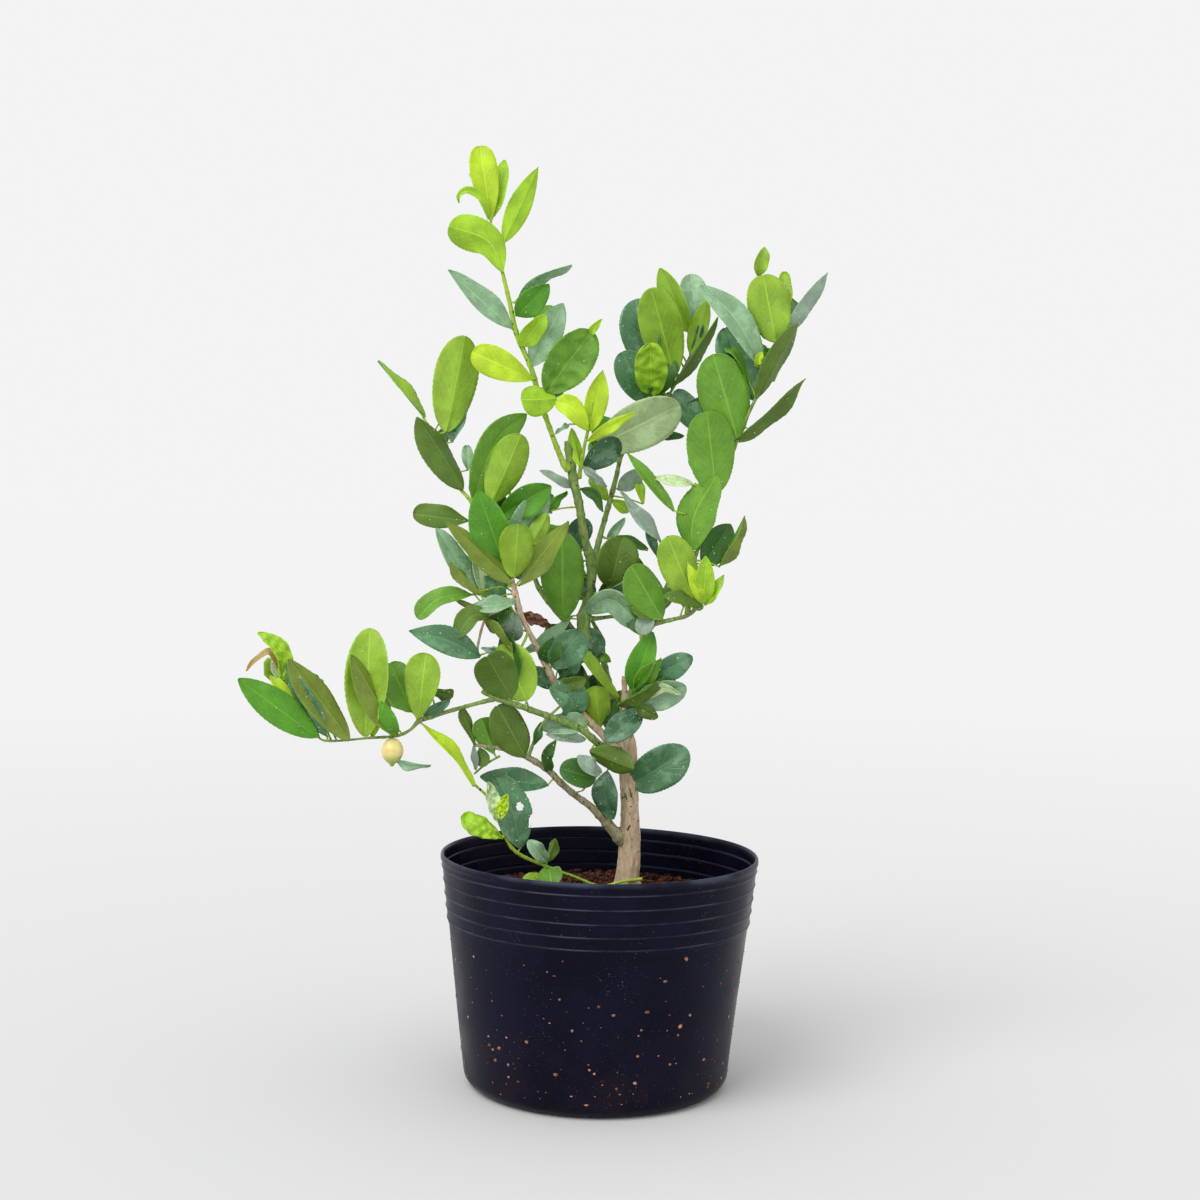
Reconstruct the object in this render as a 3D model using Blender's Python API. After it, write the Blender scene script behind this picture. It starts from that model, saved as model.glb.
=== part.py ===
# Young lemon tree in a round, soft nursery pot.
# Metres, +Z up.  The origin is the centre of the pot's flat underside, and the
# front of the tree faces -Y.  Limbs are tapering tubes along a smooth route,
# foliage masses are lumpy closed bodies along a short spine.

import bpy
import bmesh
import math
import random
from mathutils import Vector, Matrix

# ------------------------------------------------------------------ sizes
MM = 0.001
GAP = 0.0003                 # clearance between neighbouring pieces

POT_H = 0.218                # height of the rim
POT_RIM_R = 0.150            # outside radius of the lip
POT_FOOT_R = 0.1245          # wall radius carried down to the underside
POT_SLOPE = 0.1125           # growth of the wall radius per metre of height
POT_WALL = 0.0025
POT_FLOOR = 0.0030
POT_CORNER = 0.0140          # rounding between the wall and the underside
POT_STEP_Z = 0.1520          # foot of the slightly wider ribbed band
POT_STEP = 0.0008
POT_OVAL = -0.0058           # the soft rim is squeezed out of round along a diagonal
POT_RIM_LIFT = 0.0012        # one side of the rim stands a little higher
POT_SIDES = 40
SOIL_Z = 0.1730              # level of the potting mix

LIMB_SIDES = 6
MASS_SIDES = 8
MASS_RINGS = 9

# Limbs: route through a few named places (mm), radius at foot and tip (mm),
# and for the trunk the flare over the soil.  Listed in the order in which
# they are fitted: each limb's foot is cut to the limbs before it.
LIMBS = {
    "trunk": dict(route=((29, 4, 173.3), (30, 4, 232), (28, 3, 270), (23, 0, 334)),
                  r=(9.9, 8.6), flare=4.2, flare_h=16),
    "cut_leader_stub": dict(route=((23, 0, 326), (22, 3, 356), (22, 4, 387)), r=(5.0, 2.6)),
    "low_left_bough": dict(route=((24, 4, 226), (3, -6, 252), (-48, -28, 299), (-82, -38, 318)),
                           r=(6.0, 2.4)),
    "long_left_bough": dict(route=((22, 0, 306), (-17, -22, 338), (-75, -47, 362), (-104, -58, 368),
                                   (-152, -79, 355)), r=(4.8, 2.5)),
    "left_bough": dict(route=((20, 1, 313), (-10, -6, 343), (-43, -14, 379), (-69, -26, 431),
                              (-80, -32, 468)), r=(5.0, 3.4)),
    "centre_bough": dict(route=((22, 2, 326), (-4, 10, 391), (-17, 13, 439), (-10, 14, 491),
                                (-24, 8, 549), (-35, 0, 604)), r=(6.4, 3.8)),
    "back_bough": dict(route=((24, 4, 312), (17, 40, 345), (4, 78, 384), (-2, 100, 413)), r=(4.6, 2.6)),
    "right_bough": dict(route=((25, 0, 320), (33, -18, 398), (46, -32, 438), (67, -38, 445)),
                        r=(5.2, 2.8)),
    "right_twig": dict(route=((-15, 12, 439), (8, 6, 440), (30, 2, 443)), r=(3.4, 1.8)),
    "back_left_bough": dict(route=((-12, 12, 408), (-35, 40, 435), (-61, 62, 464), (-70, 74, 486)),
                            r=(3.4, 2.2)),
    "back_right_bough": dict(route=((33, -17, 396), (42, 12, 428), (58, 46, 466)), r=(3.2, 2.2)),
    "centre_right_shoot": dict(route=((-10, 14, 487), (-2, 22, 525), (11, 38, 574), (19, 50, 604)),
                               r=(3.2, 2.2)),
    "leader_shoot": dict(route=((-33, 1, 581), (-49, -6, 612), (-61, -12, 647), (-89, -14, 733),
                                (-99, -14, 768)), r=(3.0, 1.8)),
    "right_upper_shoot": dict(route=((77, -41, 446), (86, -40, 506), (109, -38, 571), (131, -40, 630)),
                              r=(2.6, 1.8)),
    "low_shoot": dict(route=((37, -8, 180), (3, -22, 190), (-45, -44, 210), (-79, -52, 229),
                             (-91, -56, 254)), r=(2.0, 2.2)),
}
SWELL = {                    # share of the route, extra radius (mm), length (mm)
    "trunk": (1.0, 2.2, 18),
    "low_left_bough": (0.08, 2.0, 16),
    "centre_bough": (0.40, 2.6, 12),
    "left_bough": (0.96, 1.0, 14),
}

# Foliage masses: spine (mm), half width at foot, middle and tip (mm), depth as a
# share of the width, and lobes: (share of the spine, angle in degrees round it,
# extra reach mm).  Angle 0 is to the right, or upwards on a mass marked up.
MASSES = {
    "leader_top_leaves": dict(
        spine=((-95, -14, 760), (-103, -12, 808), (-120, -8, 874)), half=(9, 20, 11), depth=0.85,
        lobes=((0.78, 0, 38), (0.48, 180, 28), (0.70, 180, 10), (0.50, 90, 8))),
    "leader_leaves": dict(
        spine=((-55, -12, 632), (-71, -14, 690), (-93, -14, 772)), half=(22, 36, 9), depth=0.95,
        lobes=((0.98, 180, 48), (0.88, 0, 56), (0.52, 0, 36), (0.44, 180, 22), (0.50, 90, 12))),
    "lime_shoot_leaves": dict(
        spine=((-22, -4, 586), (-14, -16, 622), (-3, -24, 664)), half=(12, 22, 8), depth=0.80,
        lobes=((0.45, 180, 16), (0.38, 0, 24))),
    "left_top_leaves": dict(
        spine=((-114, -16, 550), (-144, 2, 608), (-168, 18, 690)), half=(18, 34, 18), depth=0.90,
        lobes=((0.90, 180, 34), (0.40, 0, 44), (0.92, 0, 34), (0.30, 0, 6))),
    "left_hub_leaves": dict(
        spine=((-76, -32, 456), (-89, -28, 504), (-96, -20, 560)), half=(30, 52, 40), depth=1.0,
        lobes=((0.82, 180, 40), (0.38, 0, 34), (0.80, 0, 16), (0.24, 180, 16), (0.5, 270, 12))),
    "left_under_leaves": dict(
        spine=((-84, -38, 450), (-122, -42, 440), (-178, -48, 434)), half=(20, 24, 9), depth=0.85,
        up=True, lobes=((0.75, 0, 12), (0.35, 180, 10))),
    "left_hanging_leaves": dict(
        spine=((-80, -50, 320), (-86, -50, 366), (-92, -46, 416)), half=(16, 24, 14), depth=1.0,
        lobes=((0.25, 180, 10), (0.65, 0, 6))),
    "long_left_leaves": dict(
        spine=((-136, -76, 364), (-206, -98, 368), (-314, -110, 392)), half=(18, 30, 10), depth=0.70,
        up=True, lobes=((0.40, 0, 44), (0.14, 0, 22), (0.30, 180, 12), (0.86, 0, 34))),
    "low_left_leaves": dict(
        spine=((-46, -26, 302), (-84, -40, 314), (-120, -46, 316)), half=(12, 26, 12), depth=0.85,
        up=True, lobes=((0.62, 0, 12), (0.62, 180, 6))),
    "low_shoot_leaves": dict(
        spine=((-46, -44, 200), (-82, -54, 246), (-106, -62, 296)), half=(18, 26, 12), depth=0.80,
        lobes=((0.55, 180, 16), (0.62, 0, 12))),
    "low_shoot_tip_leaf": dict(
        spine=((-116, -63, 296), (-138, -70, 322), (-165, -79, 354)), half=(5, 8, 3), depth=0.80,
        lobes=()),
    "lower_centre_leaves": dict(
        spine=((6, 6, 248), (-10, 2, 326), (-26, 2, 424)), half=(14, 42, 30), depth=1.05,
        lobes=((0.50, 180, 12), (0.66, 90, 12))),
    "lower_right_leaves": dict(
        spine=((30, -16, 324), (46, -22, 367), (62, -26, 418)), half=(18, 34, 16), depth=1.0,
        lobes=((0.60, 0, 16), (0.50, 180, 4))),
    "low_right_leaves": dict(
        spine=((27, -12, 282), (52, -22, 304), (86, -32, 322)), half=(12, 24, 14), depth=0.80,
        lobes=((0.30, 180, 8),)),
    "centre_leaves": dict(
        spine=((-4, 28, 452), (9, 34, 504), (26, 46, 580)), half=(24, 30, 16), depth=0.95,
        lobes=((0.12, 0, 22), (0.72, 0, 14))),
    "broad_pale_leaves": dict(
        spine=((-14, 44, 614), (32, 54, 628), (84, 62, 634)), half=(12, 25, 16), depth=0.90,
        up=True, lobes=((0.80, 0, 8),)),
    "inner_top_leaves": dict(
        spine=((60, 78, 654), (54, 88, 706), (64, 94, 780)), half=(24, 38, 22), depth=0.95,
        lobes=((0.62, 0, 16), (0.94, 0, 16), (0.30, 180, 10))),
    "right_lower_leaves": dict(
        spine=((62, -38, 442), (74, -42, 486), (94, -44, 544)), half=(24, 38, 20), depth=1.0,
        lobes=((0.40, 180, 12), (1.0, 0, 32), (0.46, 0, 8))),
    "right_middle_leaves": dict(
        spine=((86, -40, 530), (100, -40, 574), (106, -38, 630)), half=(22, 30, 26), depth=1.0,
        lobes=((0.35, 180, 12), (0.30, 180, 6))),
    "right_top_leaves": dict(
        spine=((116, -40, 634), (136, -44, 688), (156, -46, 782)), half=(26, 36, 12), depth=0.95,
        lobes=((0.36, 0, 30), (0.95, 0, 48), (0.56, 180, 24), (0.5, 270, 8))),
    "back_low_leaves": dict(
        spine=((12, 72, 354), (2, 106, 404), (-6, 116, 462)), half=(24, 42, 22), depth=0.85,
        lobes=((0.50, 90, 10), (0.70, 180, 14), (0.30, 0, 14))),
    "back_right_leaves": dict(
        spine=((42, 36, 440), (70, 74, 494), (84, 88, 562)), half=(16, 38, 22), depth=0.95,
        lobes=((0.45, 90, 12),)),
    "back_left_leaves": dict(
        spine=((-52, 56, 448), (-78, 78, 500), (-96, 88, 566)), half=(20, 38, 22), depth=0.95,
        lobes=((0.50, 90, 12), (0.45, 180, 10))),
}
MASS_GAP = 0.0008


# ------------------------------------------------------------------ helpers
def clear_scene():
    for ob in list(bpy.data.objects):
        bpy.data.objects.remove(ob, do_unlink=True)


def material(name, color, rough, metallic=0.0):
    mat = bpy.data.materials.new(name)
    mat.use_nodes = True
    bsdf = mat.node_tree.nodes["Principled BSDF"]
    bsdf.inputs["Base Color"].default_value = (*color, 1.0)
    bsdf.inputs["Roughness"].default_value = rough
    bsdf.inputs["Metallic"].default_value = metallic
    return mat


def new_object(name, verts, faces, mat=None):
    mesh = bpy.data.meshes.new(name)
    mesh.from_pydata([tuple(v) for v in verts], [], faces)
    mesh.update()
    ob = bpy.data.objects.new(name, mesh)
    bpy.context.scene.collection.objects.link(ob)
    if mat is not None:
        mesh.materials.append(mat)
    tidy(mesh)
    return ob


def tidy(mesh):
    """Outward faces, triangles only, smooth shading split at sharp edges."""
    bm = bmesh.new()
    bm.from_mesh(mesh)
    bmesh.ops.remove_doubles(bm, verts=bm.verts, dist=0.00002)
    bmesh.ops.triangulate(bm, faces=bm.faces)
    bmesh.ops.recalc_face_normals(bm, faces=bm.faces)
    if bm.calc_volume(signed=True) < 0:
        bmesh.ops.reverse_faces(bm, faces=bm.faces)
    bm.to_mesh(mesh)
    bm.free()
    mesh.shade_smooth()
    mesh.set_sharp_from_angle(angle=math.radians(45))


def smooth_route(points, count):
    """Points spread evenly along a Catmull-Rom curve through the given places."""
    pts = [Vector(p) * MM for p in points]
    ext = [pts[0] * 2 - pts[1]] + pts + [pts[-1] * 2 - pts[-2]]
    fine = []
    for i in range(1, len(ext) - 2):
        p0, p1, p2, p3 = ext[i - 1:i + 3]
        for k in range(12):
            t = k / 12
            fine.append(0.5 * ((2 * p1) + (p2 - p0) * t + (2 * p0 - 5 * p1 + 4 * p2 - p3) * t * t
                               + (3 * p1 - p0 - 3 * p2 + p3) * t ** 3))
    fine.append(pts[-1])
    run = [0.0]
    for a, b in zip(fine, fine[1:]):
        run.append(run[-1] + (b - a).length)
    total = run[-1]
    out = []
    j = 0
    for k in range(count):
        s = total * k / (count - 1)
        while j < len(run) - 2 and run[j + 1] < s:
            j += 1
        f = (s - run[j]) / max(run[j + 1] - run[j], 1e-9)
        out.append(fine[j].lerp(fine[j + 1], min(max(f, 0), 1)))
    return out, total


def frames(points, first_side):
    """A side and a depth direction at each point, carried along without twist."""
    tangents = []
    for i in range(len(points)):
        a = points[max(i - 1, 0)]
        b = points[min(i + 1, len(points) - 1)]
        tangents.append((b - a).normalized())
    side = (first_side - tangents[0] * first_side.dot(tangents[0])).normalized()
    out = []
    for t in tangents:
        side = (side - t * side.dot(t)).normalized()
        out.append((t, side, t.cross(side).normalized()))
    return out


def loft(rings, cap_foot, cap_tip):
    """Closed skin over equal rings, with a fan to a point at each end."""
    n = len(rings[0])
    verts = [v for ring in rings for v in ring]
    faces = []
    for r in range(len(rings) - 1):
        for k in range(n):
            a, b = r * n + k, r * n + (k + 1) % n
            faces.append((a, b, b + n, a + n))
    foot, tip = len(verts), len(verts) + 1
    verts += [cap_foot, cap_tip]
    last = (len(rings) - 1) * n
    for k in range(n):
        faces.append((foot, (k + 1) % n, k))
        faces.append((tip, last + k, last + (k + 1) % n))
    return verts, faces


def limb_shape(name, grow=0.0, sides=LIMB_SIDES):
    """A limb, or with grow and fewer sides a slightly larger shape round it."""
    spec = LIMBS[name]
    round_up = 1.0 if sides == LIMB_SIDES else 1.0 / math.cos(math.pi / sides)
    count = 3 + 2 * (len(spec["route"]) - 1)
    pts, total = smooth_route(spec["route"], count)
    if name == "trunk":
        pts[0].z = SOIL_Z + GAP
    r0, r1 = (v * MM for v in spec["r"])
    flare, flare_h = spec.get("flare", 0) * MM, spec.get("flare_h", 1) * MM
    swell = SWELL.get(name)
    rings = []
    for i, (p, (t, side, depth)) in enumerate(zip(pts, frames(pts, Vector((1, 0, 0.001))))):
        share = i / (count - 1)
        run = share * total
        radius = r1 + (r0 - r1) * (1 - share) ** 0.9 + flare * math.exp(-run / flare_h)
        if swell:
            radius += swell[1] * MM * math.exp(-((share - swell[0]) * total / (swell[2] * MM)) ** 2)
        radius = radius * round_up + grow
        flat = name == "trunk" and i == 0
        ring = []
        for k in range(sides):
            ang = 2 * math.pi * k / sides
            lobe = 1.0
            if flare:
                lobe += 0.20 * math.exp(-run / flare_h) * math.cos(3 * ang + 0.7)
            v = p + (side * math.cos(ang) + depth * math.sin(ang)) * radius * lobe
            if flat:
                v.z = p.z
            ring.append(v)
        rings.append(ring)
    end = frames(pts, Vector((1, 0, 0.001)))
    foot = pts[0] if grow == 0 or name == "trunk" else pts[0] - end[0][0] * grow
    tip = pts[-1] + end[-1][0] * (0.0004 + grow)
    if name == "trunk" and grow:
        rings[0] = [v - Vector((0, 0, grow)) for v in rings[0]]
        foot = foot - Vector((0, 0, grow))
    return loft(rings, foot, tip)


def mass_shape(name, grow=0.0):
    spec = MASSES[name]
    rng = random.Random(sum(ord(c) * (i + 3) for i, c in enumerate(name)))
    spine, total = smooth_route(spec["spine"], MASS_RINGS)
    h0, h1, h2 = (v * MM for v in spec["half"])
    waves = [(rng.uniform(0.06, 0.13), rng.randint(2, 4), rng.uniform(0, 6.28), rng.uniform(2, 5))
             for _ in range(3)]
    rings = []
    first = Vector((0, 0.001, 1)) if spec.get("up") else Vector((1, 0, 0.001))
    frame = frames(spine, first)
    for i, (p, (t, side, depth)) in enumerate(zip(spine, frame)):
        share = i / (MASS_RINGS - 1)
        if share < 0.5:
            half = h0 + (h1 - h0) * math.sin(math.pi * share)
        else:
            half = h2 + (h1 - h2) * math.sin(math.pi * share)
        if i in (0, MASS_RINGS - 1):
            half *= 0.55
        ring = []
        for k in range(MASS_SIDES):
            ang = 2 * math.pi * k / MASS_SIDES
            wave = sum(a * math.sin(n * ang + ph + w * share * 3.1) for a, n, ph, w in waves)
            reach = half * (1 + wave)
            for at, compass, extra in spec["lobes"]:
                turn = (math.degrees(ang) - compass + 180) % 360 - 180
                reach += extra * MM * math.exp(-(turn / 34.0) ** 2) * math.exp(-((share - at) / 0.13) ** 2)
            reach += grow
            x, y = math.cos(ang) * reach, math.sin(ang) * reach * spec["depth"]
            ring.append(p + side * x + depth * y)
        rings.append(ring)
    foot = spine[0] - frame[0][0] * (h0 * 0.25 + grow)
    tip = spine[-1] + frame[-1][0] * (h2 * 0.35 + grow)
    return loft(rings, foot, tip)


def bounds(ob):
    cs = [v.co for v in ob.data.vertices]
    lo = Vector((min(c.x for c in cs), min(c.y for c in cs), min(c.z for c in cs)))
    hi = Vector((max(c.x for c in cs), max(c.y for c in cs), max(c.z for c in cs)))
    return lo, hi


def near(a, b):
    (alo, ahi), (blo, bhi) = bounds(a), bounds(b)
    return all(alo[i] < bhi[i] and blo[i] < ahi[i] for i in range(3))


def cut(ob, shapes):
    """Take each closed shape out of the object, keep its largest piece."""
    changed = False
    for verts, faces in shapes:
        cutter = new_object("cutter", verts, faces)
        if near(ob, cutter):
            mod = ob.modifiers.new("fit", 'BOOLEAN')
            mod.operation = 'DIFFERENCE'
            mod.solver = 'EXACT'
            mod.object = cutter
            graph = bpy.context.evaluated_depsgraph_get()
            graph.update()
            fitted = bpy.data.meshes.new_from_object(ob.evaluated_get(graph))
            ob.modifiers.remove(mod)
            old = ob.data
            ob.data = fitted
            bpy.data.meshes.remove(old)
            changed = True
        mesh = cutter.data
        bpy.data.objects.remove(cutter, do_unlink=True)
        bpy.data.meshes.remove(mesh)
    if changed:
        keep_largest(ob)


def keep_largest(ob):
    bm = bmesh.new()
    bm.from_mesh(ob.data)
    bmesh.ops.remove_doubles(bm, verts=bm.verts, dist=0.00005)
    bmesh.ops.dissolve_degenerate(bm, edges=bm.edges, dist=0.00005)
    bmesh.ops.triangulate(bm, faces=bm.faces)
    seen, pieces = set(), []
    for start in bm.faces:
        if start.index in seen:
            continue
        seen.add(start.index)
        stack, piece = [start], []
        while stack:
            f = stack.pop()
            piece.append(f)
            for e in f.edges:
                for g in e.link_faces:
                    if g.index not in seen:
                        seen.add(g.index)
                        stack.append(g)
        pieces.append(piece)

    def volume(piece):
        total = 0.0
        for f in piece:
            a, b, c = (v.co for v in f.verts)
            total += a.dot(b.cross(c)) / 6
        return abs(total)

    pieces.sort(key=volume, reverse=True)
    drop = [f for piece in pieces[1:] for f in piece]
    if drop:
        bmesh.ops.delete(bm, geom=drop, context='FACES')
        loose = [v for v in bm.verts if not v.link_faces]
        bmesh.ops.delete(bm, geom=loose, context='VERTS')
    bm.to_mesh(ob.data)
    bm.free()
    tidy(ob.data)


# ------------------------------------------------------------------ pot and soil
def wall_radius(z):
    return POT_FOOT_R + POT_SLOPE * z + (POT_STEP if z > POT_STEP_Z else 0.0)


def warp(radius, ang, z):
    """The soft pot's plan goes from round at the foot to a slight oval at the rim."""
    share = (z / POT_H) ** 2
    r = radius + POT_OVAL * share * math.sin(2 * ang) * (radius / POT_RIM_R)
    lift = POT_RIM_LIFT * share * share * math.cos(ang) * (radius / POT_RIM_R)
    return Vector((r * math.cos(ang), r * math.sin(ang), z + lift))


def turned(profile):
    """Closed body turned from a profile that begins and ends on the axis."""
    rings = [[warp(r, 2 * math.pi * k / POT_SIDES, z) for k in range(POT_SIDES)]
             for r, z in profile[1:-1]]
    return loft(rings, Vector((0, 0, profile[0][1])), Vector((0, 0, profile[-1][1])))


def pot_profiles():
    corner_r = wall_radius(POT_CORNER) - POT_CORNER
    outer = [(0.0, 0.0)]
    for k in range(4):
        a = math.radians(-90 + 30 * k)
        outer.append((corner_r + POT_CORNER * math.cos(a), POT_CORNER + POT_CORNER * math.sin(a)))
    outer += [(wall_radius(POT_STEP_Z), POT_STEP_Z), (wall_radius(0.1545), 0.1545),
              (wall_radius(0.2115), 0.2115), (POT_RIM_R, 0.2130), (POT_RIM_R, POT_H - 0.0008),
              (POT_RIM_R - 0.0008, POT_H)]
    inner = [(POT_RIM_R - 0.0022, POT_H), (POT_RIM_R - 0.0030, POT_H - 0.0010)]
    for z in (0.2115, SOIL_Z, 0.1560, 0.1500):
        inner.append((wall_radius(z) - POT_WALL, z))
    inner += [(wall_radius(POT_CORNER) - POT_WALL, POT_CORNER), (corner_r + 0.0060, POT_FLOOR + 0.0030),
              (corner_r, POT_FLOOR)]
    pot = outer + inner + [(0.0, POT_FLOOR)]
    # the mix fills the pot to its level, a hair clear of the walls and the floor
    fill = [(r - GAP * 1.5, max(z, POT_FLOOR + GAP)) for r, z in inner if z <= SOIL_Z]
    fill[-1] = (fill[-1][0], POT_FLOOR + GAP)
    soil = [(0.0, SOIL_Z)] + fill + [(0.0, POT_FLOOR + GAP)]
    soil.reverse()
    return pot, soil


def main():
    clear_scene()
    plastic = material("pot_plastic", (0.012, 0.014, 0.022), 0.32)
    earth = material("potting_mix", (0.10, 0.045, 0.025), 0.95)
    bark = material("bark", (0.42, 0.33, 0.24), 0.85)
    green_bark = material("green_bark", (0.22, 0.31, 0.10), 0.6)
    leaf = material("leaf", (0.16, 0.34, 0.04), 0.45)
    young = material("young_leaf", (0.50, 0.62, 0.06), 0.5)

    pot, soil = pot_profiles()
    verts, faces = turned(pot)
    new_object("pot", verts, faces, plastic)
    verts, faces = turned(soil)
    for v in verts:              # the surface of the mix is level
        if v.z > 0.1712:
            v.z = SOIL_Z
    new_object("soil", verts, faces, earth)

    placed = []
    for name in LIMBS:
        verts, faces = limb_shape(name)
        mat = bark if name in ("trunk", "cut_leader_stub", "low_left_bough", "left_bough") else green_bark
        ob = new_object(name, verts, faces, mat)
        cut(ob, [limb_shape(other, GAP) for other in placed])
        placed.append(name)

    done = []
    for name in MASSES:
        verts, faces = mass_shape(name)
        mat = young if name in ("leader_top_leaves", "lime_shoot_leaves", "low_shoot_tip_leaf") else leaf
        ob = new_object(name, verts, faces, mat)
        shapes = [limb_shape(other, GAP * 2, 4) for other in LIMBS]
        shapes += [mass_shape(other, MASS_GAP) for other in done]
        cut(ob, shapes)
        done.append(name)


main()
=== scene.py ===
import bpy, math, random
import numpy as np
from mathutils import Vector, Matrix, noise


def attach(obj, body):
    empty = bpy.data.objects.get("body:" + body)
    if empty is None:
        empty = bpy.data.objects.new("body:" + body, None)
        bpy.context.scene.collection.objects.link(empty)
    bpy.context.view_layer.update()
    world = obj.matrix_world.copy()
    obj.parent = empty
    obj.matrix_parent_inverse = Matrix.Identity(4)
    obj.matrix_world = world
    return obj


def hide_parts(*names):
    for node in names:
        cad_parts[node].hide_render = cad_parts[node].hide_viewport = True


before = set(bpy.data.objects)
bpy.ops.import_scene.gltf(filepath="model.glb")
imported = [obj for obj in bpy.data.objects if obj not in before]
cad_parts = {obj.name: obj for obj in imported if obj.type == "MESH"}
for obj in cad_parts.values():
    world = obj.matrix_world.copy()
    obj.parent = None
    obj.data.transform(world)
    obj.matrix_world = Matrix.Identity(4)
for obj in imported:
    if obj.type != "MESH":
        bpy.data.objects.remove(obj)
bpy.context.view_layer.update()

# ---------------------------------------------------------------- camera
DIST, FPX, CX, CZ = 1.8, 1910.0, -0.0025, 0.551
cp, sp = math.cos(0.0513), math.sin(0.0513)
cr, sr = math.cos(0.0151), math.sin(0.0151)
EYE = np.array((CX, -DIST, CZ))


def at(u, v, y):
    """The place at depth y that the camera sees at u, v of its 1200 frame."""
    du = (u - 600) * cr + (v - 600) * sr
    dv = -(u - 600) * sr + (v - 600) * cr
    r, q = du / FPX, -dv / FPX
    d = np.array((r, cp + q * sp, -sp + q * cp))
    return EYE + d * (y + DIST) / d[1]


def seen(p):
    x, y, z = p[0] - CX, p[1] + DIST, p[2] - CZ
    fw, up = y * cp - z * sp, z * cp + y * sp
    u, v = FPX * x / fw, -FPX * up / fw
    return np.array((600 + u * cr - v * sr, 600 + u * sr + v * cr))


cam = bpy.data.objects.new("camera", bpy.data.cameras.new("camera"))
bpy.context.scene.collection.objects.link(cam)
right0, up0, fwd = Vector((1, 0, 0)), Vector((0, sp, cp)), Vector((0, cp, -sp))
rx, ux = right0 * cr + up0 * sr, up0 * cr - right0 * sr
m = Matrix((rx, ux, -fwd)).transposed().to_4x4()
m.translation = Vector(EYE)
cam.matrix_world = m
cam.data.lens, cam.data.sensor_width = FPX / 1200 * 36, 36
bpy.context.scene.camera = cam
bpy.context.scene.view_settings.view_transform = 'Standard'


# ---------------------------------------------------------------- materials
def lin(h):
    c = [int(h[i:i + 2], 16) / 255 for i in (0, 2, 4)]
    return [x / 12.92 if x < 0.04045 else ((x + 0.055) / 1.055) ** 2.4 for x in c]


class Mat:
    def __init__(self, name, rough=0.5, spec=0.5):
        self.m = bpy.data.materials.new(name)
        self.m.use_nodes = True
        self.t = self.m.node_tree
        self.b = self.t.nodes["Principled BSDF"]
        self.b.inputs["Roughness"].default_value = rough
        self.b.inputs["Specular IOR Level"].default_value = spec

    def n(self, kind, ins=(), **kw):
        x = self.t.nodes.new(kind)
        for k, v in kw.items():
            setattr(x, k, v)
        for k, v in dict(ins).items():
            if isinstance(v, bpy.types.NodeSocket):
                self.t.links.new(v, x.inputs[k])
            else:
                x.inputs[k].default_value = v
        return x

    def math(self, op, a, b=0.0, c=0.0):
        return self.n("ShaderNodeMath", {0: a, 1: b, 2: c}, operation=op).outputs[0]

    def ramp(self, x, lo, hi, a=0.0, b=1.0):
        return self.n("ShaderNodeMapRange", {0: x, 1: lo, 2: hi, 3: a, 4: b}, interpolation_type='SMOOTHSTEP').outputs[0]

    def mix(self, f, a, b):
        x = self.t.nodes.new("ShaderNodeMix")
        x.data_type = 'RGBA'
        for k, v in ((0, f), (6, a), (7, b)):
            if isinstance(v, bpy.types.NodeSocket):
                self.t.links.new(v, x.inputs[k])
            else:
                x.inputs[k].default_value = v if k == 0 else (*v, 1)
        return x.outputs[2]

    def noise(self, scale, detail=3, vec=None, rough=0.55):
        vec = vec or self.n("ShaderNodeTexCoord").outputs["Object"]
        return self.n("ShaderNodeTexNoise", {"Vector": vec, "Scale": scale, "Detail": detail, "Roughness": rough}).outputs[0]

    def out(self, color=None, rough=None, height=None, strength=0.3, dist=0.001):
        if color is not None:
            self.t.links.new(color, self.b.inputs["Base Color"])
        if rough is not None:
            self.t.links.new(rough, self.b.inputs["Roughness"])
        if height is not None:
            bp = self.n("ShaderNodeBump", {"Height": height, "Strength": strength, "Distance": dist})
            self.t.links.new(bp.outputs[0], self.b.inputs["Normal"])
        return self.m


def scaled(c, k):
    return [min(x * k, 0.95) for x in c]


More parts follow.
